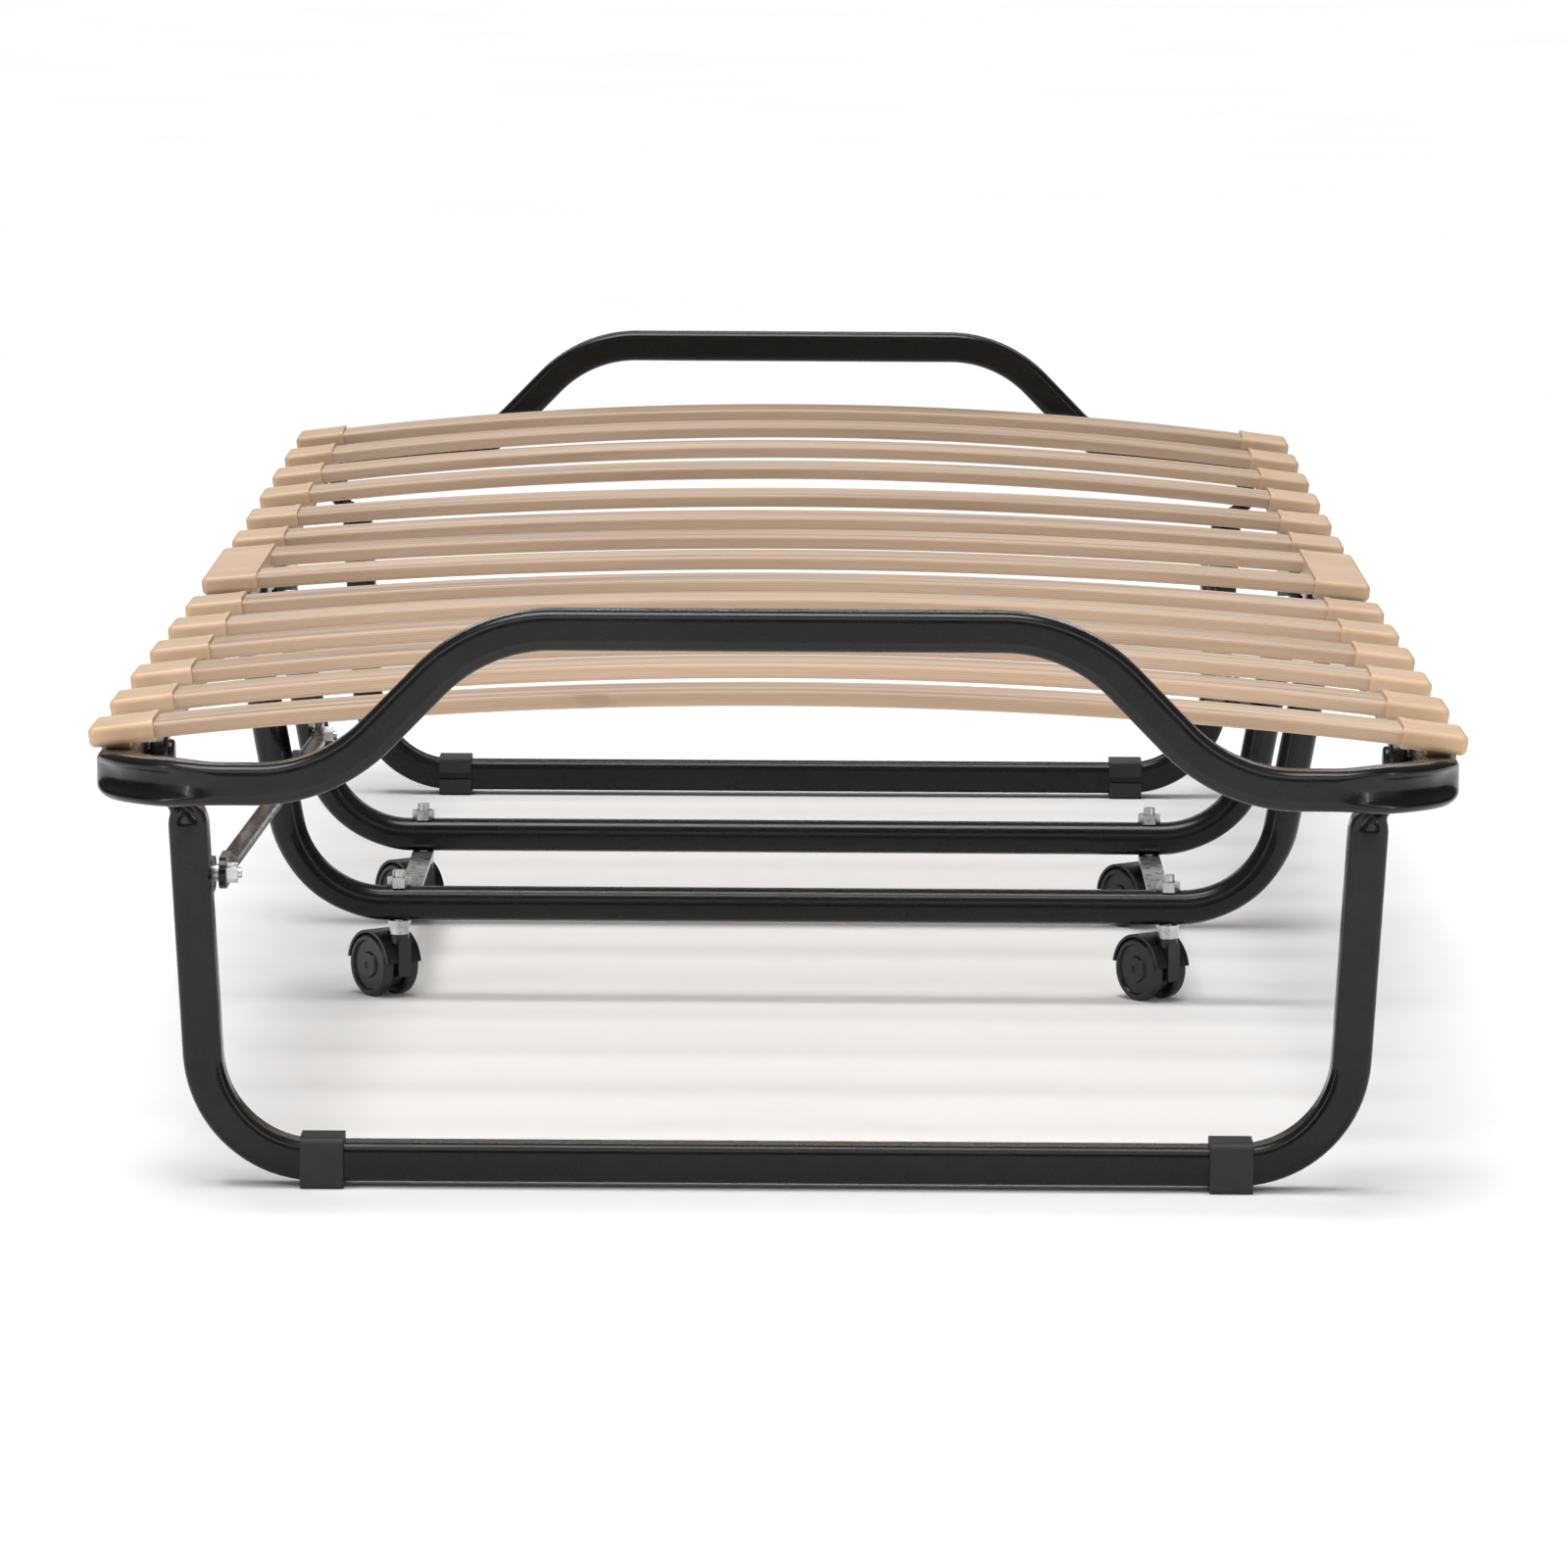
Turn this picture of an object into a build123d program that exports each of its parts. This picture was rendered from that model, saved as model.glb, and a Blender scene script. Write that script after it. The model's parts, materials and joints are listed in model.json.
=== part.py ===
"""Folding cot: a three-section slatted bed frame on castors.

Frame: X across the bed, +Y towards the far end, +Z up, floor at z = 0, origin on the floor
under the centre. Every near-end piece is modelled once; the far end is the same piece turned
half a turn about Z, as the real bed has two identical ends.
"""
from build123d import *
import os
from math import asin, cos, degrees, radians, sin

# ---------------------------------------------------------------- driving dimensions (mm)
TUBE = 22.0                 # square steel tube of rails, end loops and legs
TUBE_CORNER = 5.0
WIDTH = 750.0               # over the slat caps
RAIL_X = 359.5              # rail centre line from the bed's centre line
PIVOT_Y = 154.5             # fold axis of each outer section
PIVOT_Z = 235.5
SECTION_LENGTH = 786.0      # fold axis to the end loop's centre line
SECTION_RISE = 0.65         # degrees, each outer section rises a little towards its end
LEG_AT = 648.5              # fold axis to the leg axis, along the rail

SLAT_PITCH = 132.0
SLAT_MIDDLE = 7.5           # the bed's middle falls between slats 7 and 8
SLAT_WIDTH = 46.5
SLAT_THICK = 8.6
SLAT_HALF_LENGTH = 371.0
# height of each slat's crown over its caps' tops, far end first: bentwood takes its own set
SLAT_CROWNS = [23, 24, 23, 22, 17, 16.5, 15, 15.5, 17.5, 19, 20.5, 21.5, 22.5, 22]
CAP_TOP = 23.2              # top of a cap's outer end over the rail's centre line
CENTRE_CAP_LIFT = 2.8       # the centre section's caps sit this much higher
CAP_DEPTH = 51.0
CAP_THICK = 11.8
CAP_WALL = 1.8
CAP_INNER_X = 339.5
CAP_ROUND = 3.6             # rounding of a cap's edges
CAP_LIP = 3.5               # length of the raised lip at a cap's mouth
LIP_RAISE = 0.4
FOOT_WIDTH = 13.0
FOOT_SETBACK = 11.0         # a cap's foot starts this far in from its front and back
FOOT_OVERLAP = 3.0

LOOP_FOOT_X = 241.5         # where the end loop leaves the level, and where it levels again
LOOP_HEAD_X = 159.0
LOOP_RISE = 84.5
LOOP_CORNER_R = 60.0
LOOP_BEND_R = 92.0

LEG_BAR_Z = 14.5
LEG_FOOT_X = 316.0          # corner of the U at the bar's height
LEG_NECK_X = 326.8          # tube centre where the flattened top begins
LEG_NECK_Z = 200.0
LEG_BEND_R = 64.0
CLIP_X = 253.0
CLIP_WIDTH = 24.0
TONGUE_THICK = 10.0
TONGUE_WIDTH = 26.0
TONGUE_GAP = 1.0            # between a leg's tongue and the rail it turns beside
NECK_EASE = 0.58            # share of the height from neck to pivot that eases to flat
LEG_HEAD_R = 7.5
LEG_HEAD_DEPTH = 3.0

MID_BAR_Z = 61.0
MID_FOOT_X = 306.7
MID_NECK_X = 332.0
MID_NECK_Z = 200.0
MID_TONGUE_THICK = 8.0

CASTOR_X = 245.0
CASTOR_YAW = 38.0           # degrees, how far the castors trail round from +Y towards -X
CASTOR_TRAIL = 16.4
WHEEL_R = 20.0
WHEEL_WIDTH = 8.5
CASTOR_WIDTH = 27.1
WEB_THICK = 9.5

LINK_LEG_X = 309.5          # the link's middle plane at the leg, and at the castored frame
LINK_MID_X = 296.0
LINK_DROP = 70.0            # link pivots below the section's and the leg's axes
LINK_INSET = 20.0           # and this much nearer the bed's centre
LINK_ROD = 11.0
LINK_PLATE = 4.0
LINK_EYE_R = 9.0
LINK_EYE = 26.0             # length of the flattened end from its pivot
LINK_EASE = 16.0            # length over which it eases back to round
LINK_PLAY = 0.6             # radial play of the link's far eye on its pin
TAB_GAP = 2.2               # between the link and the tab or ear that carries it

RAIL_END_GAP = 2.5          # between a centre rail's end and the section's eye
OUTER_PLATE_THICK = 2.5
INNER_PLATE_THICK = 3.2
RIVET_R = 3.0
RIVET_HEAD_R = 5.5
NUT_SEAT = 0.8              # depth of the flat seat of a castor nut

PIVOT_BOLT_R = 5.0
LEG_BOLT_R = 4.0
LINK_PIN_R = 3.0
STEM_R = 4.0
RUN = 0.05                  # radial running clearance of a pin in its hole
SIDE_GAP = 0.3              # side play between pieces that turn past each other

# ---------------------------------------------------------------- derived places
RAIL_IN = RAIL_X - TUBE / 2
RAIL_OUT = RAIL_X + TUBE / 2
FOLD_AXIS = Axis((0, -PIVOT_Y, PIVOT_Z), (1, 0, 0))


def tilt(shape):
    """Turn a near-section piece drawn level about the fold axis to its rest angle."""
    return shape.rotate(FOLD_AXIS, -SECTION_RISE)


def far(shape):
    """The far end's copy of a near-end piece."""
    return shape.rotate(Axis.Z, 180)


LEG_Y = -PIVOT_Y - LEG_AT * cos(radians(SECTION_RISE))
LEG_Z = PIVOT_Z + LEG_AT * sin(radians(SECTION_RISE))


# ---------------------------------------------------------------- helpers
def tube_along(points, radii, profile, x_dir):
    """A bar of the given profile along straight runs joined by tangent arcs."""
    path = FilletPolyline(*points, radius=radii)
    start = Plane(origin=path @ 0, x_dir=x_dir, z_dir=path % 0)
    return sweep(start * profile, path=path)


def rod_x(radius, x_from, x_to, y, z):
    """A round bar along X."""
    low = min(x_from, x_to)
    return Plane(origin=(low, y, z), z_dir=(1, 0, 0)) * extrude(Circle(radius), abs(x_to - x_from))


def hex_x(across, x_from, x_to, y, z):
    """A hexagonal head or nut blank along X."""
    low = min(x_from, x_to)
    flat = RegularPolygon(across / 2, 6, major_radius=False)
    return Plane(origin=(low, y, z), z_dir=(1, 0, 0)) * extrude(flat, abs(x_to - x_from))


def plate_x(x_from, x_to, outline):
    """A flat plate of an outline drawn in Y (local x) and Z (local y), between two X values."""
    side = Plane(origin=(min(x_from, x_to), 0, 0), x_dir=(0, 1, 0), z_dir=(1, 0, 0))
    return side * extrude(outline, abs(x_to - x_from))


def slot_outline(p, q, half_width):
    """A round-ended outline from point p to point q."""
    middle = ((p[0] + q[0]) / 2, (p[1] + q[1]) / 2)
    run = Vector(q[0] - p[0], q[1] - p[1])
    turn = Vector(1, 0, 0).get_signed_angle(run)
    return Pos(*middle) * Rot(0, 0, turn) * SlotCenterToCenter(run.length, 2 * half_width)


def both_sides(shape):
    """A right-hand piece and its mirror image on the left."""
    return [shape, mirror(shape, Plane.YZ)]


def write(node, *pieces):
    """One STEP file per node; the pieces stay separate solids."""
    solids = [solid for piece in pieces for solid in piece.solids()]
    shape = solids[0] if len(solids) == 1 else Compound(children=solids)
    shape.label = node
    export_step(shape, f"parts/{node}.step")


# ---------------------------------------------------------------- slats and their caps
def slat_arc(y, top_z, crown):
    """Centre and radius of the arc that runs mid-way through a slat's thickness."""
    half = WIDTH / 2
    rise = crown + CAP_WALL
    top_radius = (half ** 2 + rise ** 2) / (2 * rise)
    centre_z = top_z - CAP_WALL + rise - top_radius
    return Plane(origin=(0, y, centre_z), x_dir=(1, 0, 0), z_dir=(0, -1, 0)), top_radius - SLAT_THICK / 2


def arc_bar(plane, radius, x_from, x_to, profile):
    """A bar of the given profile along the slat's arc, between two X values."""
    start = 90 - degrees(asin(x_from / radius))
    path = plane * CenterArc((0, 0), radius, start, 90 - degrees(asin(x_to / radius)) - start)
    return sweep(Plane(origin=path @ 0, x_dir=(0, 1, 0), z_dir=path % 0) * profile, path=path)


def slat(y, top_z, crown):
    plane, radius = slat_arc(y, top_z, crown)
    profile = RectangleRounded(SLAT_WIDTH, SLAT_THICK, 2.2)
    return arc_bar(plane, radius, -SLAT_HALF_LENGTH, SLAT_HALF_LENGTH, profile)


def cap_block(y, top_z, crown, depth):
    """The closed outer shape of a cap, with its raised lip and its foot on the rail."""
    plane, radius = slat_arc(y, top_z, crown)
    radius += CAP_WALL + SLAT_THICK / 2 - CAP_THICK / 2
    body = arc_bar(plane, radius, CAP_INNER_X, WIDTH / 2, Rectangle(depth, CAP_THICK))
    mouth = body.faces().sort_by(Axis.X)[0].edges()
    body = fillet(body.edges() - mouth, CAP_ROUND)
    lip_profile = RectangleRounded(depth + 2 * LIP_RAISE, CAP_THICK + 2 * LIP_RAISE,
                                   CAP_ROUND + LIP_RAISE)
    lip = arc_bar(plane, radius, CAP_INNER_X, CAP_INNER_X + CAP_LIP, lip_profile)
    return body + lip


def cap_foot(y, top_z, depth):
    """The block under a cap that stands on the rail."""
    rail_top = PIVOT_Z + TUBE / 2
    height = top_z - CAP_THICK + FOOT_OVERLAP - rail_top
    return Pos(RAIL_X, y, rail_top + height / 2) * Box(FOOT_WIDTH, depth - 2 * FOOT_SETBACK, height)


def cap(y, top_z, crown, depth, slats):
    """One right-hand cap, hollowed by the slats it holds."""
    shape = cap_block(y, top_z, crown, depth) + cap_foot(y, top_z, depth)
    for piece in slats:
        shape = shape - piece
    return shape


# ---------------------------------------------------------------- outer section
SQUARE = RectangleRounded(TUBE, TUBE, TUBE_CORNER)


def end_frame():
    """Both rails and the raised end loop: one bent tube, drilled for the leg bolts."""
    start_y = -PIVOT_Y - TUBE / 2
    end_y = -PIVOT_Y - SECTION_LENGTH
    half = [(RAIL_X, start_y, PIVOT_Z), (RAIL_X, end_y, PIVOT_Z), (LOOP_FOOT_X, end_y, PIVOT_Z),
            (LOOP_HEAD_X, end_y, PIVOT_Z + LOOP_RISE)]
    radii = [LOOP_CORNER_R, LOOP_BEND_R, LOOP_BEND_R]
    points = half + [(-x, y, z) for x, y, z in reversed(half)]
    frame = tube_along(points, radii + radii[::-1], SQUARE, (1, 0, 0))
    hole = rod_x(LEG_BOLT_R, -WIDTH / 2, WIDTH / 2, -PIVOT_Y - LEG_AT, PIVOT_Z)
    return tilt(frame - hole)


def rail_eye():
    """The round-nosed eye in a rail's inner end, bored for the section's pivot bolt."""
    nose = extrude(Plane(origin=(RAIL_IN, -PIVOT_Y, PIVOT_Z), x_dir=(0, 1, 0), z_dir=(1, 0, 0))
                   * Circle(TUBE / 2), TUBE)
    shank = Pos(RAIL_X, -PIVOT_Y - TUBE / 4, PIVOT_Z) * Box(TUBE, TUBE / 2, TUBE)
    return tilt(nose + shank - rod_x(PIVOT_BOLT_R + RUN, RAIL_IN, RAIL_OUT, -PIVOT_Y, PIVOT_Z))


def section_slats(numbers, place):
    """The (number, slat) pairs and the caps of one outer section, placed by the given turn."""
    slats, caps = [], []
    for number in numbers:
        y = -abs(SLAT_PITCH * (SLAT_MIDDLE - number))
        crown = SLAT_CROWNS[number - 1]
        piece = slat(y, PIVOT_Z + CAP_TOP, crown)
        right = cap(y, PIVOT_Z + CAP_TOP, crown, CAP_DEPTH, [piece])
        slats.append((number, place(tilt(piece))))
        caps += [place(tilt(side)) for side in both_sides(right)]
    return slats, caps


def leg_bolt():
    """Shouldered rivet through the rail and the leg's tongue, with low round heads."""
    inner_face = RAIL_IN - TONGUE_GAP - TONGUE_THICK - SIDE_GAP
    shank = rod_x(LEG_BOLT_R, inner_face, RAIL_OUT, LEG_Y, LEG_Z)
    outer = rod_x(LEG_HEAD_R, RAIL_OUT, WIDTH / 2 - 0.5, LEG_Y, LEG_Z)
    outer = fillet(outer.edges().sort_by(Axis.X)[-1], 2)
    inner = rod_x(LEG_HEAD_R, inner_face - LEG_HEAD_DEPTH, inner_face, LEG_Y, LEG_Z)
    inner = fillet(inner.edges().sort_by(Axis.X)[0], 2)
    return shank + outer + inner


# ---------------------------------------------------------------- leg
def tongue(foot, neck, neck_profile, face_x, thick, pivot, bore):
    """The flattened top of an upright that leans from foot to neck, both given as (x, z).

    It eases over from the tube to a flat tongue beside the rail, with a bored round end.
    """
    y, z = pivot
    centre_x = face_x - thick / 2
    flat_z = neck[1] + NECK_EASE * (z - neck[1])
    lean = Vector(neck[0] - foot[0], 0, neck[1] - foot[1]).normalized()
    tube_end = Plane(origin=(neck[0], y, neck[1]), x_dir=(lean.Z, 0, -lean.X), z_dir=lean)
    flat = Pos(centre_x, y, flat_z) * RectangleRounded(thick, TONGUE_WIDTH, thick * 0.3)
    outline = (Pos(y, (flat_z + z) / 2) * Rectangle(TONGUE_WIDTH, z - flat_z)
               + Pos(y, z) * Circle(TONGUE_WIDTH / 2))
    shape = loft([tube_end * neck_profile, flat]) + plate_x(face_x - thick, face_x, outline)
    return shape - rod_x(bore, centre_x - thick, face_x + thick, y, z)


def u_frame(foot_x, bar_z, neck, profile, tongue_face_x, tongue_thick, pivot, bore):
    """A bent U of tube whose uprights end in flat bored tongues."""
    foot, y = (foot_x, bar_z), pivot[0]
    points = [(neck[0], y, neck[1]), (foot_x, y, bar_z), (-foot_x, y, bar_z), (-neck[0], y, neck[1])]
    frame = tube_along(points, LEG_BEND_R, profile, (0, 1, 0))
    top = tongue(foot, neck, profile, tongue_face_x, tongue_thick, pivot, bore)
    for side in both_sides(top):
        frame = frame + side
    return frame


def leg_frame():
    """U-shaped end leg with flattened tops."""
    return u_frame(LEG_FOOT_X, LEG_BAR_Z, (LEG_NECK_X, LEG_NECK_Z), SQUARE,
                   RAIL_IN - TONGUE_GAP, TONGUE_THICK, (LEG_Y, LEG_Z), LEG_BOLT_R + RUN)


def leg_clips(leg):
    """Plastic glide clips on the leg's bar: sleeves slit along the back."""
    sleeve = Pos(CLIP_X, LEG_Y, LEG_BAR_Z) * Box(CLIP_WIDTH, 2 * LEG_BAR_Z, 2 * LEG_BAR_Z)
    sleeve = fillet(sleeve.edges().filter_by(Axis.X), 4)
    slit = Pos(CLIP_X, LEG_Y + LEG_BAR_Z, LEG_BAR_Z) * Box(2 * CLIP_WIDTH, TUBE / 2, 5)
    return both_sides(sleeve - leg - slit)


# ---------------------------------------------------------------- link between leg and centre
LINK_A = (-PIVOT_Y + LINK_INSET, PIVOT_Z - LINK_DROP)     # pivot on the centre's bracket (y, z)
LINK_B = (LEG_Y + LINK_INSET, LEG_Z - LINK_DROP)          # pivot on the leg's tab (y, z)


def link_rod():
    """Rod with flattened, drilled ends along the near section's left side, leaning inwards."""
    lean = LINK_MID_X - LINK_LEG_X
    span = Vector(0, LINK_B[0] - LINK_A[0], LINK_B[1] - LINK_A[1])
    length, along = span.length, span.normalized()
    start = Plane(origin=(-LINK_MID_X, *LINK_A), x_dir=(1, 0, 0), z_dir=along)
    flat = RectangleRounded(LINK_PLATE, 2 * LINK_EYE_R, LINK_PLATE * 0.35)
    round_bar = RectangleRounded(LINK_ROD, LINK_ROD, LINK_ROD * 0.49)
    eased = LINK_EYE + LINK_EASE
    rod = loft([Pos(0, 0, eased) * round_bar, Pos(lean, 0, length - eased) * round_bar])
    ends = ((0, 0, 1, LINK_PIN_R + RUN), (lean, length, -1, LINK_PIN_R + LINK_PLAY))
    for x, centre, inward, bore in ends:
        flat_at, round_at = centre + inward * LINK_EYE, centre + inward * eased
        rod = rod + loft([Pos(x, 0, flat_at) * flat, Pos(x, 0, round_at) * round_bar])
        side = Plane(origin=(x - LINK_PLATE / 2, 0, 0), x_dir=(0, 0, 1), z_dir=(1, 0, 0))
        strip = (Pos(centre + inward * LINK_EYE / 2, 0) * Rectangle(LINK_EYE, 2 * LINK_EYE_R)
                 + Pos(centre, 0) * Circle(LINK_EYE_R))
        rod = rod + extrude(side * strip, LINK_PLATE)
        rod = rod - extrude(side * (Pos(centre, 0) * Circle(bore)), LINK_PLATE)
    return start * rod


def tab_face(link_x):
    """X of the face that carries the link's pin, on the left-hand side."""
    return -link_x - LINK_PLATE / 2 - TAB_GAP


def link_pin(pivot, link_x):
    """Shouldered pin from a tab's face through the link, with a nut on the inner side."""
    inner = -link_x + LINK_PLATE / 2
    shoulder = rod_x(5, tab_face(link_x), -link_x - LINK_PLATE / 2 - SIDE_GAP, *pivot)
    shank = rod_x(LINK_PIN_R, tab_face(link_x), inner + 8.5, *pivot)
    nut = hex_x(10, inner + SIDE_GAP, inner + SIDE_GAP + 6, *pivot)
    return [shoulder + shank, nut - shank]


def link_tab(leg):
    """Tab on the near left leg's inner face that carries the link's end."""
    y, z = LINK_B
    outline = slot_outline((LEG_Y, z), (y, z), 9.5)
    block = plate_x(-LINK_LEG_X - 10.5, tab_face(LINK_LEG_X), outline)
    return block - leg


def link_bracket(mid_frame):
    """Angle bracket on the mid frame: a flange on the upright and an upstanding ear."""
    y, z = LINK_A
    face = tab_face(LINK_MID_X)
    flange_top = z - 11
    flange = Pos(-298.5, -PIVOT_Y + 11, flange_top - 1.5) * Box(32, 44, 3)
    ear = plate_x(face - 3, face, slot_outline((y, z), (y, flange_top + 4), 11)
                  & Pos(y, z) * Rectangle(40, 2 * (z - flange_top)))
    return flange + ear - mid_frame


# ---------------------------------------------------------------- centre section
def centre_rail():
    """Short right-hand rail of the centre section."""
    half = PIVOT_Y - TUBE / 2 - RAIL_END_GAP
    end = Plane(origin=(RAIL_X, -half, PIVOT_Z), x_dir=(1, 0, 0), z_dir=(0, 1, 0))
    return end * extrude(SQUARE, 2 * half)


RIVETS_Y = (PIVOT_Y - 58, PIVOT_Y - 30)
OUTER_PLATE = (RAIL_OUT, RAIL_OUT + OUTER_PLATE_THICK)
INNER_PLATE = (RAIL_IN - INNER_PLATE_THICK, RAIL_IN)


def hinge_plates():
    """The two plates of the right-hand near hinge, standing just off the section's rail."""
    outline = slot_outline((-PIVOT_Y, PIVOT_Z), (-RIVETS_Y[0], PIVOT_Z), 11)
    plates = []
    for low, high in (OUTER_PLATE, INNER_PLATE):
        plate = plate_x(low, high, outline)
        relief = SIDE_GAP if low == RAIL_OUT else -SIDE_GAP
        face = low if relief > 0 else high
        sweep_zone = Plane(origin=(min(face, face + relief), -PIVOT_Y, PIVOT_Z), x_dir=(0, 1, 0),
                           z_dir=(1, 0, 0))
        pocket = extrude(sweep_zone * Rectangle(2 * TUBE + 4, 2 * TUBE), SIDE_GAP)
        plate = plate - pocket - rod_x(PIVOT_BOLT_R, low, high, -PIVOT_Y, PIVOT_Z)
        for rivet_y in RIVETS_Y:
            plate = plate - rod_x(RIVET_R, low, high, -rivet_y, PIVOT_Z)
        plates.append(plate)
    return plates


def rivet(y):
    """Rivet through both plates and the centre rail, with low round heads."""
    shank = rod_x(RIVET_R, INNER_PLATE[0], OUTER_PLATE[1], y, PIVOT_Z)
    inner_head = rod_x(RIVET_HEAD_R, INNER_PLATE[0] - 2, INNER_PLATE[0], y, PIVOT_Z)
    outer_head = rod_x(RIVET_HEAD_R, OUTER_PLATE[1], OUTER_PLATE[1] + 1.6, y, PIVOT_Z)
    return shank + inner_head + outer_head


def pivot_bolt():
    """Bolt of one section hinge and its nut, which also holds the mid frame's tongue."""
    tongue_in = INNER_PLATE[0] - MID_TONGUE_THICK
    shank = rod_x(PIVOT_BOLT_R, tongue_in - 10, OUTER_PLATE[1], -PIVOT_Y, PIVOT_Z)
    head = rod_x(8.5, OUTER_PLATE[1], OUTER_PLATE[1] + 1.8, -PIVOT_Y, PIVOT_Z)
    nut = hex_x(16, tongue_in - 8, tongue_in, -PIVOT_Y, PIVOT_Z)
    return [shank + head, nut - shank]


def mid_frame():
    """U-shaped castored frame under the near hinges, drilled for the castor stems."""
    round_tube = RectangleRounded(TUBE, TUBE, TUBE * 0.46)
    frame = u_frame(MID_FOOT_X, MID_BAR_Z, (MID_NECK_X, MID_NECK_Z), round_tube,
                    INNER_PLATE[0], MID_TONGUE_THICK, (-PIVOT_Y, PIVOT_Z), PIVOT_BOLT_R)
    for x in (-CASTOR_X, CASTOR_X):
        frame = frame - Pos(x, -PIVOT_Y, MID_BAR_Z) * Cylinder(STEM_R, TUBE + 2)
        frame = frame - Pos(x, -PIVOT_Y, MID_BAR_Z + TUBE / 2) * Cylinder(8.5, 2 * NUT_SEAT)
    return frame


def tie_strap():
    """Flat steel strap under both mid frames, from one castor stem to the other."""
    outline = Rot(0, 0, 90) * SlotCenterToCenter(2 * PIVOT_Y, 14)
    strap = Pos(CASTOR_X, 0, MID_BAR_Z - TUBE / 2 - 3) * extrude(outline, 3)
    for y in (-PIVOT_Y, PIVOT_Y):
        strap = strap - Pos(CASTOR_X, y, MID_BAR_Z - TUBE / 2 - 1.5) * Cylinder(STEM_R, 4)
    return strap


# ---------------------------------------------------------------- castors
STRAP_Z = MID_BAR_Z - TUBE / 2 - 3
HOOD_TOP = STRAP_Z - 6
CASTOR_PLANE = Rot(0, 0, 90 + CASTOR_YAW)


def castor_stem(x, y):
    """Zinc stem: threaded top, round collar, and the pin that the castor turns on."""
    thread = Pos(x, y, (HOOD_TOP + 82) / 2) * Cylinder(STEM_R, 82 - HOOD_TOP)
    collar = Pos(x, y, HOOD_TOP + 3 + SIDE_GAP / 2) * Cylinder(6.5, 6 - SIDE_GAP)
    pin = Pos(x, y, (15 + HOOD_TOP) / 2) * Cylinder(3, HOOD_TOP - 15)
    return thread + collar + pin


def castor_nut(x, y):
    """Hexagon nut in the bar's flattened seat."""
    seat = MID_BAR_Z + TUBE / 2 - NUT_SEAT
    nut = Pos(x, y, seat) * extrude(RegularPolygon(6.5, 6, major_radius=False), 6.5)
    return nut - Pos(x, y, seat + 3) * Cylinder(STEM_R, 20)


def castor_hood():
    """Black hood between and over the wheels, in castor coordinates (trail along +X)."""
    side = Plane(origin=(0, WEB_THICK / 2, 0), x_dir=(1, 0, 0), z_dir=(0, -1, 0))
    axle = Pos(CASTOR_TRAIL, WHEEL_R)
    upper = Pos(CASTOR_TRAIL, WHEEL_R + 21) * Rectangle(60, 30)
    hood = extrude(side * (axle * Circle(16) + (axle * Circle(22) & upper)), WEB_THICK)
    hood = hood + Pos(0.5, 0, 26) * Box(14, WEB_THICK, 24)
    hood = hood + Pos(0, 0, (35.5 + HOOD_TOP) / 2) * Cylinder(6.5, HOOD_TOP - 35.5)
    cover_side = Plane(origin=(0, CASTOR_WIDTH / 2 - 0.6, 0), x_dir=(1, 0, 0), z_dir=(0, -1, 0))
    cover_zone = Pos(CASTOR_TRAIL - 2, WHEEL_R + 18) * Rectangle(60, 30)
    cover = (axle * Circle(22.6) - axle * Circle(20.8)) & cover_zone
    hood = hood + extrude(cover_side * cover, CASTOR_WIDTH - 1.2)
    hood = hood - Pos(0, 0, 28) * Cylinder(3 + RUN, 60)
    bore = Plane(origin=(CASTOR_TRAIL, CASTOR_WIDTH, WHEEL_R), z_dir=(0, -1, 0))
    return hood - extrude(bore * Circle(2.5 + RUN), 2 * CASTOR_WIDTH)


def castor_wheels():
    """Two wheels with dished, hubbed outer faces, in castor coordinates."""
    inner = WEB_THICK / 2 + SIDE_GAP
    outer = inner + WHEEL_WIDTH
    with_hub = [(2.5, inner), (18.6, inner), (WHEEL_R, inner + 1.4), (WHEEL_R, outer - 1.6),
                (18.4, outer), (16.2, outer), (15.4, outer - 1.6), (8.6, outer - 1.6),
                (7.8, outer - 0.2), (2.5, outer - 0.2)]
    profile = make_face(Polyline(*with_hub, close=True))
    wheel = revolve(Plane(origin=(0, 0, 0), x_dir=(1, 0, 0), z_dir=(0, 0, 1)) * profile, Axis.Y)
    wheel = Pos(CASTOR_TRAIL, 0, WHEEL_R) * wheel
    return [wheel, mirror(wheel, Plane.XZ)]


def castor_axle():
    """Steel axle, in castor coordinates."""
    length = CASTOR_WIDTH - 1.4
    start = Plane(origin=(CASTOR_TRAIL, length / 2, WHEEL_R), z_dir=(0, -1, 0))
    return start * extrude(Circle(2.5), length)


# ---------------------------------------------------------------- build
os.makedirs("parts", exist_ok=True)

frame = end_frame()
eyes = both_sides(rail_eye())
near_slats, near_caps = section_slats(range(9, 15), lambda shape: shape)
far_slats, far_caps = section_slats(range(1, 7), far)
write("near_end_frame", frame)
write("near_rail_eyes", *eyes)
write("near_slat_caps", *near_caps)
write("far_rail_eyes", *[far(eye) for eye in eyes])
write("far_slat_caps", *far_caps)
for number, piece in near_slats + far_slats:
    write(f"slat_{number:02d}", piece)

stud_hole = Plane(origin=(0, PIVOT_Y + SECTION_LENGTH - TUBE, 0), z_dir=(0, 1, 0))
loop_top_z = far(frame).bounding_box().max.Z - TUBE / 2
far_frame = far(frame) - Pos(0, 0, loop_top_z) * (stud_hole * extrude(Circle(4.5), TUBE / 2 + 4))
write("far_end_frame", far_frame)
stud = Pos(0, 0, loop_top_z) * (Plane(origin=(0, PIVOT_Y + SECTION_LENGTH - 9.5, 0), z_dir=(0, 1, 0))
                                * extrude(Circle(4.5) - Rectangle(1.2, 6), 2.5))
write("far_loop_screw", stud)

bolts = both_sides(leg_bolt())
write("near_leg_bolts", *bolts)
write("far_leg_bolts", *[far(piece) for piece in bolts])

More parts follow.
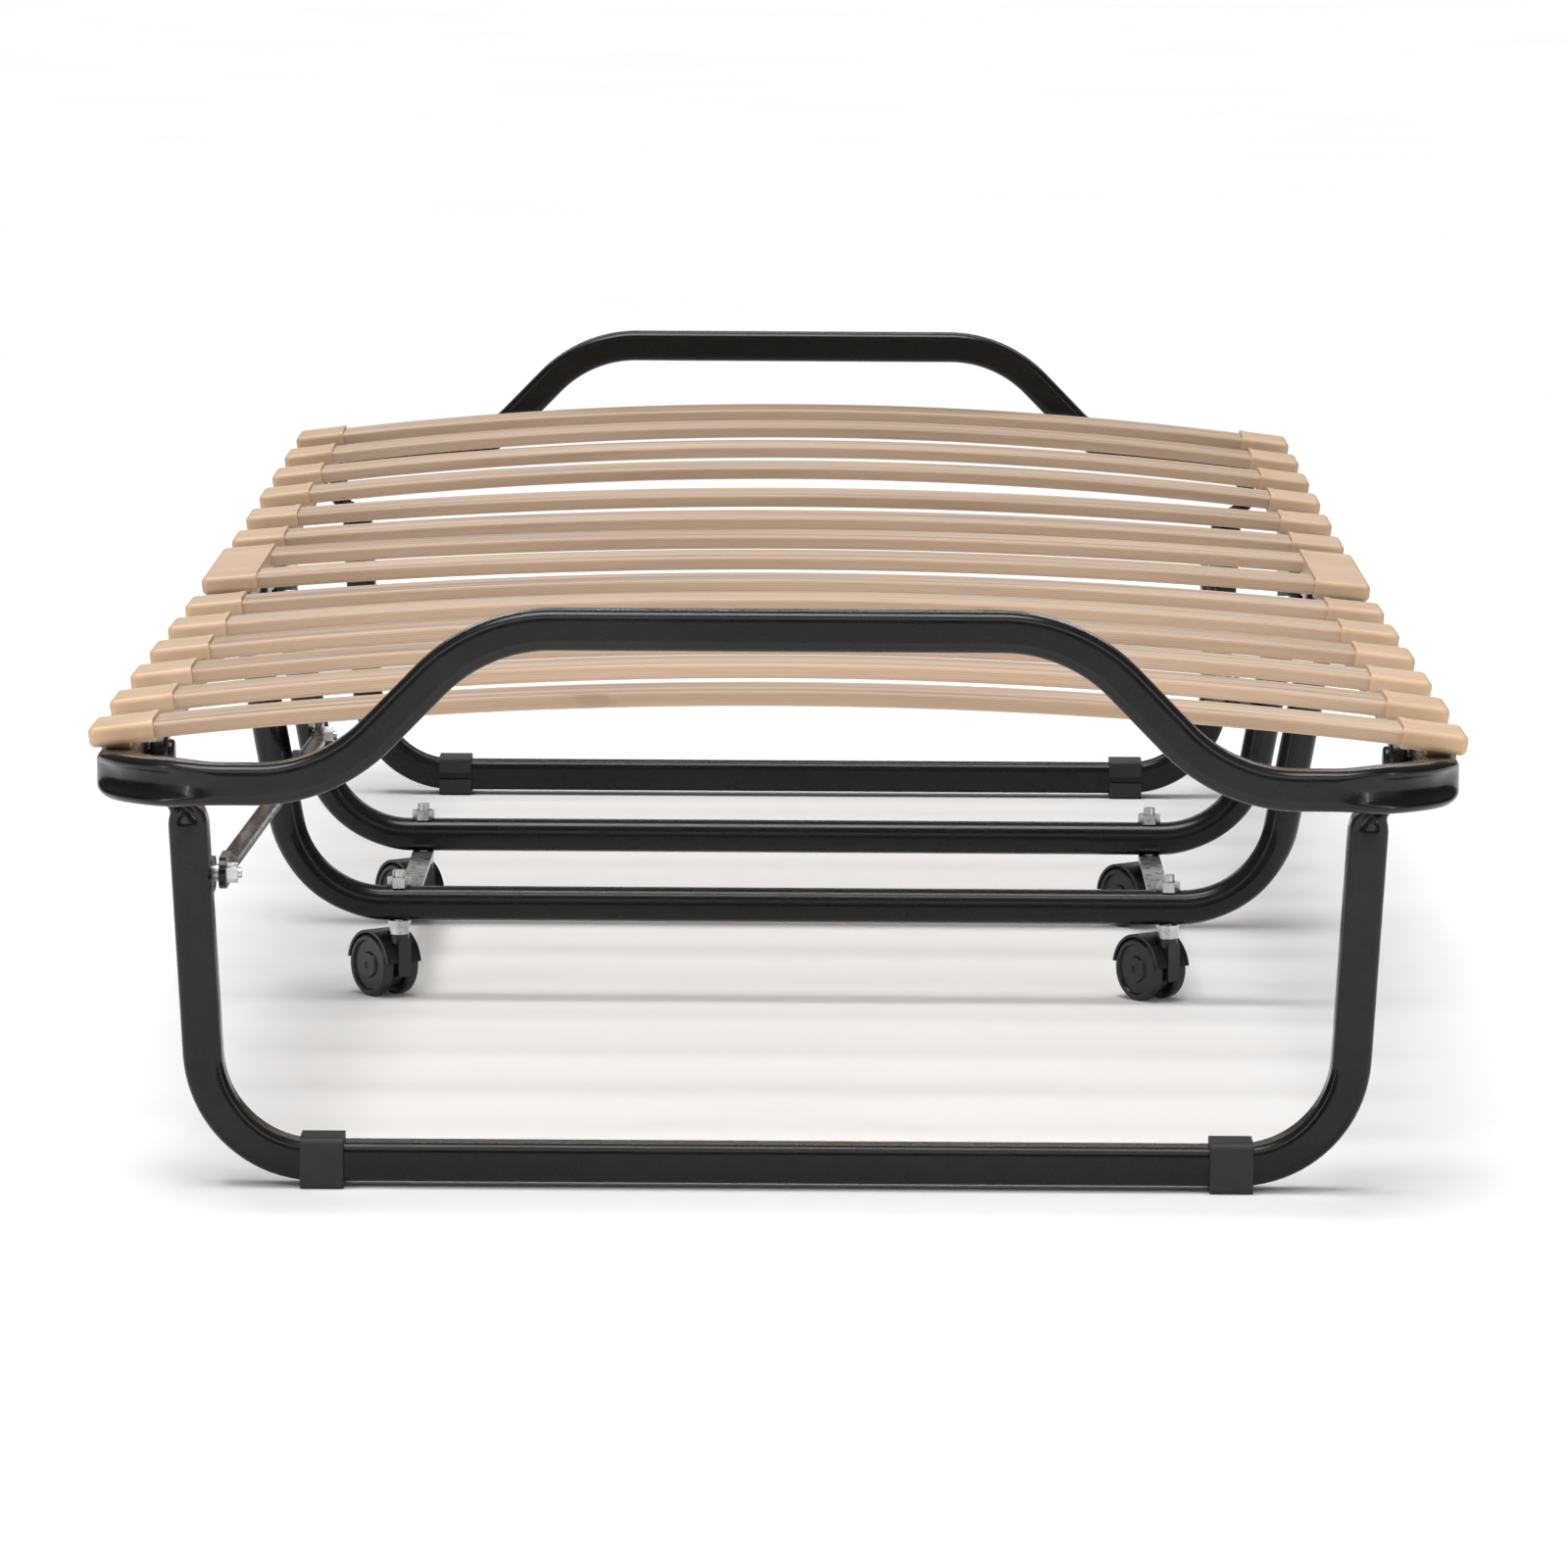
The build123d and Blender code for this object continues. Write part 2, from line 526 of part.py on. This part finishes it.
leg = leg_frame()
clips = leg_clips(leg)
tab = link_tab(leg)
leg_pin = link_pin(LINK_B, LINK_LEG_X)
rod = link_rod()
for end, place in (("near", lambda shape: shape), ("far", far)):
    write(f"{end}_leg_frame", place(leg))
    write(f"{end}_leg_clips", *[place(piece) for piece in clips])
    write(f"{end}_link_tab", place(tab))
    write(f"{end}_link_pin", *[place(piece) for piece in leg_pin])
    write(f"{end}_link_rod", place(rod))

rail = centre_rail()
rivets = [rivet(-y) for y in RIVETS_Y]
for hole in rivets + [far(mirror(piece, Plane.YZ)) for piece in rivets]:
    rail = rail - hole
write("centre_rail_right", rail)
write("centre_rail_left", mirror(rail, Plane.YZ))

mid = mid_frame()
bracket = link_bracket(mid)
bracket_pin = link_pin(LINK_A, LINK_MID_X)
near_hinge = [piece for plate in hinge_plates() for piece in both_sides(plate)]
near_rivets = [piece for part in rivets for piece in both_sides(part)]
near_bolts = [piece for part in pivot_bolt() for piece in both_sides(part)] + bracket_pin
write("hinge_plates", *near_hinge, *[far(piece) for piece in near_hinge])
write("hinge_rivets", *near_rivets, *[far(piece) for piece in near_rivets])
write("pivot_bolts", *near_bolts, *[far(piece) for piece in near_bolts])
write("mid_frame_near", mid)
write("mid_frame_far", far(mid))
write("link_brackets", bracket, far(bracket))
write("tie_straps", *both_sides(tie_strap()))

cap_top = PIVOT_Z + CAP_TOP + CENTRE_CAP_LIFT
centre = {}
for number in (7, 8):
    centre[number] = slat(SLAT_PITCH * (SLAT_MIDDLE - number), cap_top, SLAT_CROWNS[number - 1])
    write(f"slat_{number:02d}", centre[number])
centre_cap = cap(0, cap_top, SLAT_CROWNS[6], SLAT_PITCH + CAP_DEPTH, centre.values())
write("centre_slat_caps", *both_sides(centre_cap))

stems, nuts = [], []
for y, row in ((-PIVOT_Y, "near"), (PIVOT_Y, "far")):
    for x, side in ((-CASTOR_X, "left"), (CASTOR_X, "right")):
        place = Pos(x, y, 0) * CASTOR_PLANE
        stems.append(castor_stem(x, y))
        nuts.append(castor_nut(x, y))
        write(f"castor_hood_{row}_{side}", place * castor_hood())
        write(f"castor_wheels_{row}_{side}", *[place * wheel for wheel in castor_wheels()])
        write(f"castor_axle_{row}_{side}", place * castor_axle())
write("castor_stems", *stems)
write("castor_nuts", *nuts)
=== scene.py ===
"""Folding cot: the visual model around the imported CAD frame, in metres."""
import json
from math import atan2, cos, pi, radians, sin, sqrt, tan

import bpy
from mathutils import Matrix, Vector


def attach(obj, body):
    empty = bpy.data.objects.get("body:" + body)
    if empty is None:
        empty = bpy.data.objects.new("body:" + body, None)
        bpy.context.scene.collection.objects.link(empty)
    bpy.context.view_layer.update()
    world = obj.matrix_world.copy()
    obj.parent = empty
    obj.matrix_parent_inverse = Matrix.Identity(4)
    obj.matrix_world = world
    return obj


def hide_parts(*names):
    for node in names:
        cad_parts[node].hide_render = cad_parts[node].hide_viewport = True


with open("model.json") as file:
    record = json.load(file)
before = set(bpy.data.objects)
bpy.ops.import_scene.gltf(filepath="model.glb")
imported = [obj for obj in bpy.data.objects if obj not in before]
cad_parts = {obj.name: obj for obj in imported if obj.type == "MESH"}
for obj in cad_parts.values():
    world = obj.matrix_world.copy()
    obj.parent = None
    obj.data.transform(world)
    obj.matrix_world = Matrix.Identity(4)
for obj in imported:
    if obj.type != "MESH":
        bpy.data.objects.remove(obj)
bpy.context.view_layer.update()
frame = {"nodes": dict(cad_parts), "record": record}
scene = bpy.context.scene

# ------------------------------------------------------------------ sizes shared with the CAD
TUBE, TUBE_CORNER = 0.022, 0.005
RAIL_X, PIVOT_Y, PIVOT_Z = 0.3595, 0.1545, 0.2355
SECTION_LENGTH, SECTION_RISE, LEG_AT = 0.786, radians(0.65), 0.6485
LEG_Y = -PIVOT_Y - LEG_AT * cos(SECTION_RISE)
LEG_Z = PIVOT_Z + LEG_AT * sin(SECTION_RISE)
SLAT_PITCH, SLAT_WIDTH, SLAT_THICK, SLAT_HALF = 0.132, 0.0465, 0.0086, 0.371
CROWNS = [23, 24, 23, 22, 17, 16.5, 15, 15.5, 17.5, 19, 20.5, 21.5, 22.5, 22]
CAP_TOP, CENTRE_LIFT, CAP_WALL, HALF_WIDTH = 0.0232, 0.0028, 0.0018, 0.375
RAIL_IN = RAIL_X - TUBE / 2
LOOP_FOOT_X, LOOP_TOP_X, LOOP_RISE = 0.2415, 0.159, 0.0845     # raised loop: foot, top corner, height
END_BEND, LOOP_BEND, U_BEND = 0.060, 0.092, 0.064               # centre-line radii of the bends
TONGUE_WIDTH, NECK_EASE = 0.026, 0.58      # flattened uprights: width, and share of the height that eases
SLAT_CORNER, SLAT_STEPS, PLY = 0.0022, 96, 0.00145

# how far the tube's outer wall sinks in the bends, and how deep the pressed creases are
END_SINK = 0.0058
LEG_SINK, LEG_FOLD = 0.0030, 0.0050
MID_SINK, MID_FOLD = 0.0015, 0.0020

TILT = (Matrix.Translation((0, -PIVOT_Y, PIVOT_Z)) @ Matrix.Rotation(-SECTION_RISE, 4, "X")
        @ Matrix.Translation((0, PIVOT_Y, -PIVOT_Z)))
HALF_TURN = Matrix.Rotation(pi, 4, "Z")
LEVEL = Matrix.Identity(4)


# ------------------------------------------------------------------ materials
def add(tree, kind, values=None, **settings):
    """A node with its settings, and its inputs set or linked."""
    node = tree.nodes.new(kind)
    for key, value in settings.items():
        setattr(node, key, value)
    for key, value in (values or {}).items():
        if isinstance(value, bpy.types.NodeSocket):
            tree.links.new(value, node.inputs[key])
        else:
            node.inputs[key].default_value = value
    return node


def material(name, **shader_values):
    """A new principled material; returns it, its tree, its shader and its object coordinates."""
    mat = bpy.data.materials.new(name)
    mat.use_nodes = True
    tree = mat.node_tree
    shader = tree.nodes["Principled BSDF"]
    for key, value in shader_values.items():
        shader.inputs[key.replace("_", " ")].default_value = value
    return mat, tree, shader, add(tree, "ShaderNodeTexCoord").outputs["Object"]


def noise(tree, vector, scale, detail=4.0, rough=0.5, stretch=(1, 1, 1), distortion=0.0):
    """Noise over coordinates stretched by a factor per axis."""
    mapped = add(tree, "ShaderNodeMapping", {"Vector": vector, "Scale": stretch}).outputs[0]
    return add(tree, "ShaderNodeTexNoise", {"Vector": mapped, "Scale": scale, "Detail": detail,
                                            "Roughness": rough, "Distortion": distortion}).outputs[0]


def ramp(tree, factor, stops):
    """A colour ramp; stops are (position, (r, g, b))."""
    node = add(tree, "ShaderNodeValToRGB", {"Fac": factor})
    elements = node.color_ramp.elements
    while len(elements) < len(stops):
        elements.new(0.5)
    for element, (position, colour) in zip(elements, stops):
        element.position = position
        element.color = (*colour, 1)
    return node.outputs["Color"]


def spread(tree, factor, low, high, from_low=0.0, from_high=1.0):
    """A number from low to high as factor runs over its range."""
    return add(tree, "ShaderNodeMapRange", {"Value": factor, "From Min": from_low, "From Max": from_high,
                                            "To Min": low, "To Max": high}).outputs[0]


def mixed(tree, factor, a, b, blend="MIX"):
    node = add(tree, "ShaderNodeMix", data_type="RGBA", blend_type=blend)
    for index, value in ((0, factor), (6, a), (7, b)):
        if isinstance(value, bpy.types.NodeSocket):
            tree.links.new(value, node.inputs[index])
        else:
            node.inputs[index].default_value = value
    return node.outputs[2]


def bump(tree, shader, height, strength, distance):
    normal = add(tree, "ShaderNodeBump", {"Height": height, "Strength": strength, "Distance": distance})
    tree.links.new(normal.outputs[0], shader.inputs["Normal"])


def powder_coat():
    """Charcoal powder coat with a faint orange peel."""
    mat, tree, shader, place = material("charcoal_powder_coat", Specular_IOR_Level=0.24,
                                         Coat_Weight=0.10, Coat_Roughness=0.06)
    tone = noise(tree, place, 9, 3)
    colour = ramp(tree, tone, [(0.3, (0.0030, 0.0029, 0.0027)), (0.7, (0.0062, 0.0060, 0.0055))])
    tree.links.new(colour, shader.inputs["Base Color"])
    rough = spread(tree, noise(tree, place, 60, 4), 0.20, 0.32, 0.3, 0.7)
    tree.links.new(rough, shader.inputs["Roughness"])
    bump(tree, shader, noise(tree, place, 520, 2), 0.12, 0.0004)
    return mat


def birch():
    """Bent birch laminate: long grain, pale plies on its edges and a few small flecks."""
    mat, tree, shader, _ = material("birch_laminate", Coat_Weight=0.08, Coat_Roughness=0.35)
    grain = add(tree, "ShaderNodeAttribute", attribute_name="grain").outputs["Vector"]
    streaks = noise(tree, grain, 1, 6, 0.60, (2.2, 150, 40), 0.7)
    fibres = noise(tree, grain, 1, 3, 0.6, (25, 1500, 700))
    tone = noise(tree, grain, 1, 2, 0.5, (0.9, 9, 1.5))
    base = ramp(tree, streaks, [(0.38, (0.31, 0.200, 0.128)), (0.46, (0.49, 0.350, 0.240)),
                                (0.56, (0.63, 0.470, 0.340))])
    base = mixed(tree, spread(tree, fibres, 0.0, 0.6, 0.45, 0.75), base, (0.38, 0.255, 0.165, 1))
    base = mixed(tree, 0.8, base, ramp(tree, tone, [(0.32, (0.74, 0.69, 0.64)), (0.66, (1.0, 1.0, 1.0))]),
                 "MULTIPLY")
    fleck = noise(tree, grain, 1, 2, 0.5, (14, 150, 30), 0.3)
    base = mixed(tree, spread(tree, fleck, 0.0, 0.75, 0.735, 0.79), base, (0.13, 0.065, 0.035, 1))
    # the plies show as fine lines on the two long edges
    edge = add(tree, "ShaderNodeAttribute", attribute_name="edge").outputs["Fac"]
    depth = add(tree, "ShaderNodeSeparateXYZ", {"Vector": grain}).outputs["Z"]
    plies = add(tree, "ShaderNodeMath", {0: depth, 1: 2 * pi / PLY}, operation="MULTIPLY").outputs[0]
    plies = add(tree, "ShaderNodeMath", {0: plies}, operation="SINE").outputs[0]
    edge_colour = mixed(tree, spread(tree, plies, 0.0, 0.6, -1, 1), (0.52, 0.362, 0.245, 1),
                        (0.38, 0.245, 0.155, 1))
    edge_colour = mixed(tree, 0.30, edge_colour, base)
    tree.links.new(mixed(tree, edge, base, edge_colour), shader.inputs["Base Color"])
    tree.links.new(spread(tree, streaks, 0.42, 0.60), shader.inputs["Roughness"])
    bump(tree, shader, fibres, 0.10, 0.0006)
    return mat


def cap_plastic():
    """Tan moulded plastic with a fine spark texture and slight flow marks."""
    mat, tree, shader, place = material("tan_plastic")
    flow = noise(tree, place, 14, 4, 0.55, (1, 2.2, 1), 0.5)
    colour = ramp(tree, flow, [(0.3, (0.52, 0.345, 0.208)), (0.72, (0.64, 0.440, 0.285))])
    tree.links.new(colour, shader.inputs["Base Color"])
    tree.links.new(spread(tree, noise(tree, place, 90, 3), 0.36, 0.52), shader.inputs["Roughness"])
    bump(tree, shader, noise(tree, place, 1400, 2), 0.14, 0.0003)
    return mat


def black_plastic(name, roughness, grain_scale, strength):
    mat, tree, shader, place = material(name)
    tone = noise(tree, place, 55, 4)
    tree.links.new(ramp(tree, tone, [(0.3, (0.007, 0.007, 0.0075)), (0.75, (0.015, 0.015, 0.016))]),
                   shader.inputs["Base Color"])
    tree.links.new(spread(tree, tone, roughness - 0.08, roughness + 0.1), shader.inputs["Roughness"])
    bump(tree, shader, noise(tree, place, grain_scale, 2), strength, 0.0003)
    return mat


def zinc():
    """Bright zinc plate, a little clouded."""
    mat, tree, shader, place = material("zinc_plate", Metallic=0.92)
    cloud = noise(tree, place, 160, 5, 0.6)
    tree.links.new(ramp(tree, cloud, [(0.3, (0.42, 0.43, 0.43)), (0.7, (0.68, 0.69, 0.69))]),
                   shader.inputs["Base Color"])
    tree.links.new(spread(tree, cloud, 0.2, 0.42, 0.3, 0.7), shader.inputs["Roughness"])
    bump(tree, shader, noise(tree, place, 900, 3), 0.15, 0.0003)
    return mat


PAINT, WOOD, TAN, ZINC = powder_coat(), birch(), cap_plastic(), zinc()
CLIP = black_plastic("clip_plastic", 0.55, 1600, 0.25)
NYLON = black_plastic("castor_nylon", 0.30, 700, 0.08)
BY_SLOT = {"frame_paint": PAINT, "slat_wood": WOOD, "cap_plastic": TAN, "clip_plastic": CLIP,
           "castor_plastic": NYLON, "zinc": ZINC}
SLOT_OF = {part["node"]: part["material_slot"] for part in frame["record"]["subparts"]}
for node, obj in frame["nodes"].items():
    hub = node.startswith("castor_axle")        # the axle's ends sit behind black hub plugs
    obj.data.materials.clear()
    obj.data.materials.append(NYLON if hub else BY_SLOT[SLOT_OF[node]])


# ------------------------------------------------------------------ mesh helpers
def rounded_ring(half_u, half_v, corner, per_corner=6, per_side=4):
    """Points of a rounded rectangle, counter-clockwise, the same count whatever its size."""
    corner = min(corner, half_u * 0.98, half_v * 0.98)
    arcs = []
    for quarter, (su, sv) in enumerate(((1, 1), (-1, 1), (-1, -1), (1, -1))):
        centre = (su * (half_u - corner), sv * (half_v - corner))
        arcs.append([(centre[0] + corner * cos((quarter + j / (per_corner - 1)) * pi / 2),
                      centre[1] + corner * sin((quarter + j / (per_corner - 1)) * pi / 2))
                     for j in range(per_corner)])
    ring = []
    for index, arc in enumerate(arcs):
        ring += arc
        (u0, v0), (u1, v1) = arc[-1], arcs[(index + 1) % 4][0]
        for j in range(per_side):
            # points crowd towards the corners, so that the flats shade flat
            t = 0.5 - 0.5 * cos(pi * (j + 1) / (per_side + 1))
            ring.append((u0 + (u1 - u0) * t, v0 + (v1 - v0) * t))
    return ring


def skin(name, rings, body, nodes, mat, place=LEVEL, attributes=None):
    """A closed mesh over equal rings of points, riding on a body in place of CAD nodes."""
    count = len(rings[0])
    verts = [place @ Vector(point) for ring in rings for point in ring]
    faces = [list(range(count - 1, -1, -1)), list(range((len(rings) - 1) * count, len(rings) * count))]
    for i in range(len(rings) - 1):
        for j in range(count):
            k = (j + 1) % count
            faces.append((i * count + j, i * count + k, (i + 1) * count + k, (i + 1) * count + j))
    mesh = bpy.data.meshes.new(name)
    mesh.from_pydata(verts, [], faces)
    mesh.update()
    for key, (kind, values) in (attributes or {}).items():
        layer = mesh.attributes.new(key, kind, "POINT")
        layer.data.foreach_set("vector" if kind == "FLOAT_VECTOR" else "value", values)
    mesh.shade_smooth()
    mesh.materials.append(mat)
    obj = bpy.data.objects.new(name, mesh)
    scene.collection.objects.link(obj)
    smooth = obj.modifiers.new("weighted_normals", "WEIGHTED_NORMAL")
    smooth.keep_sharp = True
    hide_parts(*nodes)
    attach(obj, body)
    return obj


def ease(t):
    t = min(max(t, 0.0), 1.0)
    return t * t * (3 - 2 * t)


def run_and_bends(points, radii, step=0.012):
    """Stations along straight runs joined by tangent arcs: (position, tangent, side, bend).

    side points to the bend's centre and bend runs 0..1..0 over each arc.
    """
    points = [Vector(p) for p in points]
    stations = []
    start = points[0]
    for i in range(1, len(points)):
        along = (points[i] - points[i - 1]).normalized()
        if i < len(points) - 1:
            onward = (points[i + 1] - points[i]).normalized()
            angle, radius = along.angle(onward), radii[i - 1]
            end = points[i] - along * radius * tan(angle / 2)
        else:
            end = points[i]
        length = (end - start).length
        pieces = max(2, int(length / step))
        for j in range(pieces + 1):
            stations.append((start.lerp(end, j / pieces), along, None, 0.0))
        if i < len(points) - 1:
            side = (onward - along * along.dot(onward)).normalized()
            centre = end + side * radius
            turns = max(8, int(radius * angle / 0.0045))
            for j in range(1, turns + 1):
                a = angle * j / turns
                outward = along * sin(a) - side * cos(a)
                share = j / turns
                bend = ease(min(1.0, min(share, 1 - share) * 3.2))
                stations.append((centre + outward * radius, along * cos(a) + side * sin(a), -outward,
                                 bend * min(1.0, (U_BEND / radius) ** 5)))
            start = stations[-1][0]
            stations.pop()
    return stations


def tube_rings(stations, first_u, half, corner, sink):
    """Rings of a square tube along stations; its outer wall sinks in by sink metres in each bend."""
    rings, frames = [], []
    u = Vector(first_u)
    previous = stations[0][1]
    for position, tangent, side, bend in stations:
        u = previous.rotation_difference(tangent) @ u
        u = (u - tangent * u.dot(tangent)).normalized()
        v = tangent.cross(u)
        previous = tangent
        ring = []
        for a, b in rounded_ring(half, half, corner):
            offset = u * a + v * b
            if side is not None and bend > 0:
                outer = -offset.dot(side)
                across = offset.dot(tangent.cross(side))
                if outer > 0:
                    valley = max(0.0, 1 - (across / (half * 0.66)) ** 2)
                    offset += side * sink * bend * valley * ease(outer / half * 1.15)
                else:
                    offset += side * -0.10 * sink * bend
                offset += tangent.cross(side) * (across / half) * 0.30 * sink * bend
            ring.append(position + offset)
        rings.append(ring)
        frames.append((position, tangent, u, v))
    return rings, frames


# ------------------------------------------------------------------ end frames: rails and raised loop
def end_frame(name, node, body, place):
    start_y, end_y = -PIVOT_Y - TUBE / 2, -PIVOT_Y - SECTION_LENGTH
    half = [(RAIL_X, start_y, PIVOT_Z), (RAIL_X, end_y, PIVOT_Z), (LOOP_FOOT_X, end_y, PIVOT_Z),
            (LOOP_TOP_X, end_y, PIVOT_Z + LOOP_RISE)]
    points = half + [(-x, y, z) for x, y, z in reversed(half)]
    radii = [END_BEND] + [LOOP_BEND] * 4 + [END_BEND]
    rings, _ = tube_rings(run_and_bends(points, radii), (1, 0, 0), TUBE / 2, TUBE_CORNER, END_SINK)
    return skin(name, rings, body, [node], PAINT, place @ TILT)


end_frame("near_frame_tube", "near_end_frame", "near_section", LEVEL)
end_frame("far_frame_tube", "far_end_frame", "far_section", HALF_TURN)


# ------------------------------------------------------------------ U frames: end legs and castored frames
def u_frame(name, node, body, place, foot_x, bar_z, neck, face_x, thick, y, pivot_z, corner, sink, fold):
    """A bent U whose uprights are pressed flat at the top, with a folded crease in front and behind."""
    points = [(neck[0], y, neck[1]), (foot_x, y, bar_z), (-foot_x, y, bar_z), (-neck[0], y, neck[1])]
    stations = run_and_bends(points, [U_BEND, U_BEND])
    rings, frames = tube_rings(stations, (0, 1, 0), TUBE / 2, corner, sink)
    for end, (position, tangent, u, v) in ((0, frames[0]), (1, frames[-1])):
        out = -tangent if end == 0 else tangent
        sign = 1 if position.x > 0 else -1
        centre_x = sign * (face_x - thick / 2)
        flat_z = neck[1] + NECK_EASE * (pivot_z - neck[1])
        levels = [(neck[1] + (flat_z - neck[1]) * j / 12, j / 12) for j in range(1, 13)]
        levels += [(flat_z + (pivot_z - flat_z) * j / 3, 1.0) for j in range(1, 4)]
        tops = [(z, share, 1.0) for z, share in levels]
        tops += [(pivot_z + TONGUE_WIDTH / 2 * sin(a), 1.0, max(cos(a), 0.06))
                 for a in (pi / 2 * j / 8 for j in range(1, 9))]
        extra = []
        for z, share, narrow in tops:
            flat = ease(share)
            lean_x = position.x + out.x / out.z * (z - neck[1])
            centre = Vector((lean_x + (centre_x - lean_x) * ease((share - 0.3) / 0.7), y, z))
            half_y = (TUBE / 2 + (TONGUE_WIDTH - TUBE) / 2 * flat) * narrow
            half_x = TUBE / 2 + (thick - TUBE) / 2 * flat
            round_corner = corner + (thick * 0.3 - corner) * flat
            crease = fold * sin(pi * min(1.0, share)) ** 1.2
            ring = []
            for a, b in rounded_ring(half_y, half_x, round_corner):
                offset = u * a + v * b
                depth = ease(1 - abs(offset.x) / (half_x * 0.7))
                offset.y *= 1 - crease * depth / max(half_y, 1e-4)
                ring.append(centre + offset)
            extra.append(ring)
        rings = extra[::-1] + rings if end == 0 else rings + extra
    return skin(name, rings, body, [node], PAINT, place)


for end, place in (("near", LEVEL), ("far", HALF_TURN)):
    u_frame(f"{end}_leg_tube", f"{end}_leg_frame", f"{end}_leg", place, 0.316, 0.0145, (0.3268, 0.203),
            RAIL_IN - 0.001, 0.010, LEG_Y, LEG_Z, TUBE_CORNER, LEG_SINK, LEG_FOLD)
    u_frame(f"mid_{end}_tube", f"mid_frame_{end}", "centre", place, 0.3067, 0.061, (0.332, 0.200),
            RAIL_IN - 0.0032, 0.008, -PIVOT_Y, PIVOT_Z, TUBE * 0.46, MID_SINK, MID_FOLD)


# ------------------------------------------------------------------ slats
def slat(number):
    """A bent slat with plies and long grain, a little uneven along its edges."""
    crown = CROWNS[number - 1] / 1000
    centre_row = number in (7, 8)
    y = SLAT_PITCH * (7.5 - number) * (1 if number > 6 else -1)
    top_z = PIVOT_Z + CAP_TOP + (CENTRE_LIFT if centre_row else 0)
    rise = crown + CAP_WALL
    top_radius = (HALF_WIDTH ** 2 + rise ** 2) / (2 * rise)
    centre_z = top_z - CAP_WALL + rise - top_radius
    radius = top_radius - SLAT_THICK / 2
    place = LEVEL if centre_row else (TILT if number > 8 else HALF_TURN @ TILT)
    body = "centre" if centre_row else ("near_section" if number > 8 else "far_section")
    rings, grain, edge = [], [], []
    for i in range(SLAT_STEPS + 1):
        x = -SLAT_HALF + 2 * SLAT_HALF * i / SLAT_STEPS
        angle = atan2(x, sqrt(radius ** 2 - x ** 2))
        out = Vector((sin(angle), 0, cos(angle)))
        spot = Vector((0, y, centre_z)) + out * radius
        wander = 0.00025 * sin(7.1 * x + 2.3 * number) + 0.00015 * sin(23 * x + number)
        ring = []
        for b, t in reversed(rounded_ring(SLAT_WIDTH / 2, SLAT_THICK / 2, SLAT_CORNER)):
            ring.append(spot + Vector((0, b + wander * (1 - (x / SLAT_HALF) ** 4), 0)) + out * t)
            grain += [x + number * 3.7, b + number * 0.61, t + number * 0.0029]
            edge.append(ease((abs(b) - SLAT_WIDTH / 2 + 0.0026) / 0.0016))
        rings.append(ring)
    return skin(f"slat_board_{number:02d}", rings, body, [f"slat_{number:02d}"], WOOD, place,
                {"grain": ("FLOAT_VECTOR", grain), "edge": ("FLOAT", edge)})


for number in range(1, 15):
    slat(number)

# ------------------------------------------------------------------ floor, lights and camera
floor_mesh = bpy.data.meshes.new("floor")
floor_mesh.from_pydata([(-40, -40, 0), (40, -40, 0), (40, 40, 0), (-40, 40, 0)], [], [(0, 1, 2, 3)])
floor = bpy.data.objects.new("floor", floor_mesh)
scene.collection.objects.link(floor)
floor_mat, floor_tree, floor_shader, floor_place = material("studio_floor", Roughness=0.9)
floor_tree.links.new(ramp(floor_tree, noise(floor_tree, floor_place, 1.5, 2),
                          [(0.3, (0.90, 0.90, 0.90)), (0.7, (0.92, 0.92, 0.92))]),
                     floor_shader.inputs["Base Color"])
floor_shader.inputs["Specular IOR Level"].default_value = 0.1
floor_mesh.materials.append(floor_mat)

world = bpy.data.worlds.new("studio")
scene.world = world
world.use_nodes = True
sky = world.node_tree
background = sky.nodes["Background"]
height = add(sky, "ShaderNodeSeparateXYZ", {"Vector": add(sky, "ShaderNodeTexCoord").outputs["Generated"]})
glow = ramp(sky, height.outputs["Z"], [(0.0, (0.05, 0.05, 0.05)), (0.25, (0.09, 0.09, 0.09)),
                                       (0.8, (0.26, 0.26, 0.26))])
seen = add(sky, "ShaderNodeLightPath").outputs["Is Camera Ray"]
sky.links.new(mixed(sky, seen, glow, (1.0, 1.0, 1.0, 1)), background.inputs["Color"])
background.inputs["Strength"].default_value = 1.0


def softbox(name, place, target, size, watts):
    data = bpy.data.lights.new(name, "AREA")
    data.shape, data.size, data.size_y, data.energy = "RECTANGLE", size[0], size[1], watts
    obj = bpy.data.objects.new(name, data)
    obj.location = place
    obj.rotation_euler = (Vector(target) - Vector(place)).to_track_quat("-Z", "Y").to_euler()
    scene.collection.objects.link(obj)


sun = bpy.data.lights.new("overhead", "SUN")
sun.energy, sun.angle = 2.95, radians(36)
sun_obj = bpy.data.objects.new("overhead", sun)
sun_obj.rotation_euler = (radians(8), radians(-6), 0)
scene.collection.objects.link(sun_obj)
softbox("front_floor", (0.0, -2.3, 1.15), (0, -2.3, 0), (3.4, 0.9), 26)
softbox("left_strip", (-1.9, -2.0, 0.75), (-0.3, -0.85, 0.22), (0.10, 1.3), 7)
softbox("right_strip", (1.9, -2.0, 0.75), (0.3, -0.85, 0.22), (0.10, 1.3), 7)
softbox("back_strip", (0.0, 2.6, 1.3), (0, 0.2, 0.25), (2.6, 0.2), 10)

camera = bpy.data.objects.new("camera", bpy.data.cameras.new("camera"))
camera.data.sensor_width = 36
camera.data.lens = 183.4
camera.matrix_world = (Matrix.Translation((0.0245, -5.187, 0.8255))
                       @ Matrix.Rotation(0.00489, 4, "Z")
                       @ Matrix.Rotation(radians(90 - 7.77), 4, "X")
                       @ Matrix.Rotation(radians(0.3), 4, "Z"))
scene.collection.objects.link(camera)
scene.camera = camera
scene.view_settings.view_transform = "Standard"
